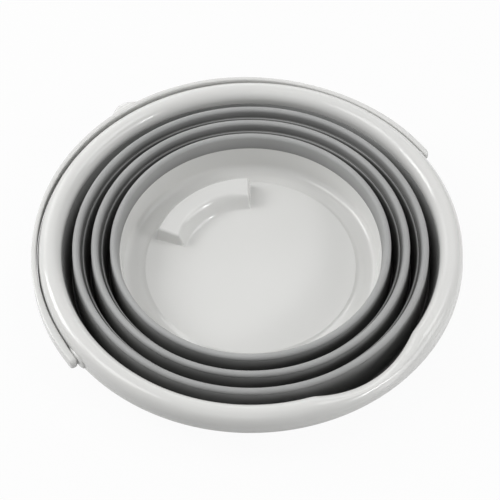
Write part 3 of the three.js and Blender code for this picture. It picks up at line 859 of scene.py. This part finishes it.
# %% Pivot bosses and pegs
RING_TURN = 7.5
BOSS = ((153.5, 0, 0), (153.5, 4.9, 9.6), (154, 5.4, 10.1), (160.6, 5.4, 10.1), (161.1, 5.3, 9.8),
        (161.6, 5, 8.9), (161.9, 4.6, 7.4), (162.05, 4.3, 5.8), (162.1, 4.1, 4.4), (162, 3.85, 3.9),
        (156.6, 3.8, 3.8), (156.4, 3.6, 3.6), (156.4, 0, 0))
PEG = ((157, 0, 0), (157, 2.9, 2.9), (157.6, 3.5, 3.5), (164.3, 3.5, 3.5), (165, 3.4, 3.4), (165, 0, 0))


def about_pivot(name, stations, side, body):
    """Piece about the pivot line from (distance from the middle, half height, half length) stations."""
    angles = np.radians(np.arange(0, 360, RING_TURN)) * side
    rings = []
    for x, tall, long in stations:
        y, z = PIVOT.y + long * np.cos(angles), PIVOT.z + tall * np.sin(angles)
        rings.append(np.column_stack([np.full(len(angles), side * x), y, z]) * MM)
    place(grid_piece(name, rings, shell), body, "shell")


for side, label in ((1, "right"), (-1, "left")):
    about_pivot("pivot_boss_" + label, BOSS, side, "rim")
    about_pivot("handle_peg_" + label, PEG, side, "handle")

# %% [markdown]
# ## Floor
# The photograph is a cut-out on white. The floor is a plain sheet that shows nearly white to the camera and
# in reflections, and still takes the bucket's shadow faintly. A shadow catcher could do this too, but mixing
# two shaders by the Light Path keeps it all in one material.

# %% Floor
FLOOR_HALF = 4.0
FLOOR_Z = -0.0004
SHEET_GREY = (0.6, 0.6, 0.6, 1)
WHITE = (1, 1, 1, 1)
SHADE = 0.05


def white_stage(name):
    """Sheet that shines evenly where it is seen, but for a share that takes light and shadow."""
    material, start = new_material(name)[:2]
    path = start.node("ShaderNodeLightPath", output="Is Camera Ray")
    seen = path + path.other("Is Glossy Ray") + path.other("Is Transmission Ray")
    sheet = start.node("ShaderNodeBsdfDiffuse", {}, {"Color": SHEET_GREY})
    bright = start.node("ShaderNodeEmission", {}, {"Color": WHITE, "Strength": 1.0})
    share = path.maths("MINIMUM", seen, 1.0) * (1 - SHADE)
    surface = start.node("ShaderNodeMixShader", {}, {0: share, 1: sheet, 2: bright})
    start.node("ShaderNodeOutputMaterial", {}, {"Surface": surface})
    return material


signs = ((-1, -1), (1, -1), (1, 1), (-1, 1))
floor_mesh = bpy.data.meshes.new("floor")
floor_mesh.from_pydata([(x * FLOOR_HALF, y * FLOOR_HALF, FLOOR_Z) for x, y in signs], [], [(0, 1, 2, 3)])
floor_mesh.materials.append(white_stage("floor_white"))
floor = bpy.data.objects.new("floor", floor_mesh)
scene.collection.objects.link(floor)
floor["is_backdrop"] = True
print("floor of", 2 * FLOOR_HALF, "m")

# %% [markdown]
# ## Light
# The bucket stands in a soft room with nine lamp boxes round it. The rolled rim, the cove and the grip
# mirror them as thin streaks. Most boxes stand where a streak in the photograph, followed back from the
# camera, points to, and the wide and high ones lift the floor of the dish. One large lamp would be simpler,
# but would draw one streak only.

# %% Light
ROOM_LIGHT = 0.28
LAMP_DISTANCE = 1.5
# Each lamp: direction as right, away and up of the photograph, then width and height in metres, and watts.
LAMPS = {
    "box_left": ((-0.81, 0.2, 0.55), 0.6, 0.58, 7.7),
    "box_left_wide": ((-0.86, 0.1, 0.5), 1.2, 1.0, 2.4),
    "box_left_high": ((-0.5, 0.0, 0.87), 0.6, 0.6, 4.2),
    "box_left_back": ((-0.62, 0.62, 0.47), 0.6, 0.6, 2.2),
    "box_right": ((0.85, -0.2, 0.47), 1.0, 0.6, 5.4),
    "box_right_small": ((0.75, -0.47, 0.47), 0.2, 0.2, 2.4),
    "box_right_high": ((0.45, 0.22, 0.87), 0.6, 0.6, 3.6),
    "box_front_high": ((-0.1, -0.5, 0.86), 0.6, 0.6, 0.8),
    "box_back": ((0.0, 0.95, 0.31), 1.8, 0.25, 3.6),
}


def lamp_box(name, direction, width, height, power):
    data = bpy.data.lights.new(name, "AREA")
    data.shape = "RECTANGLE"
    data.size = width
    data.size_y = height
    data.energy = power
    lamp = bpy.data.objects.new(name, data)
    toward = (right * direction[0] + away * direction[1] + up * direction[2]).normalized()
    lamp.location = AIM + toward * LAMP_DISTANCE
    lamp.rotation_euler = toward.to_track_quat("Z", "Y").to_euler()
    scene.collection.objects.link(lamp)


world = bpy.data.worlds.new("room")
scene.world = world
world.use_nodes = True
world.node_tree.nodes.clear()
room = Field(world.node_tree)
rays = room.node("ShaderNodeLightPath", output="Is Camera Ray")
strength = ROOM_LIGHT + (1 - ROOM_LIGHT) * rays
backdrop = room.node("ShaderNodeBackground", {}, {"Color": WHITE, "Strength": strength})
room.node("ShaderNodeOutputWorld", {}, {"Surface": backdrop})
for name, sizes in LAMPS.items():
    lamp_box(name, *sizes)
print("room light", ROOM_LIGHT, "with", len(LAMPS), "lamp boxes")

# %% [markdown]
# The boxes of the solids and of the model that dresses them are both printed. The model has to keep the
# size of the solids it dresses.

# %% Boxes and finish
low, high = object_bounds()
print("sizes in mm", [[round(v * 1000, 1) for v in (b - a)] for a, b in ((cad_low, cad_high), (low, high))])
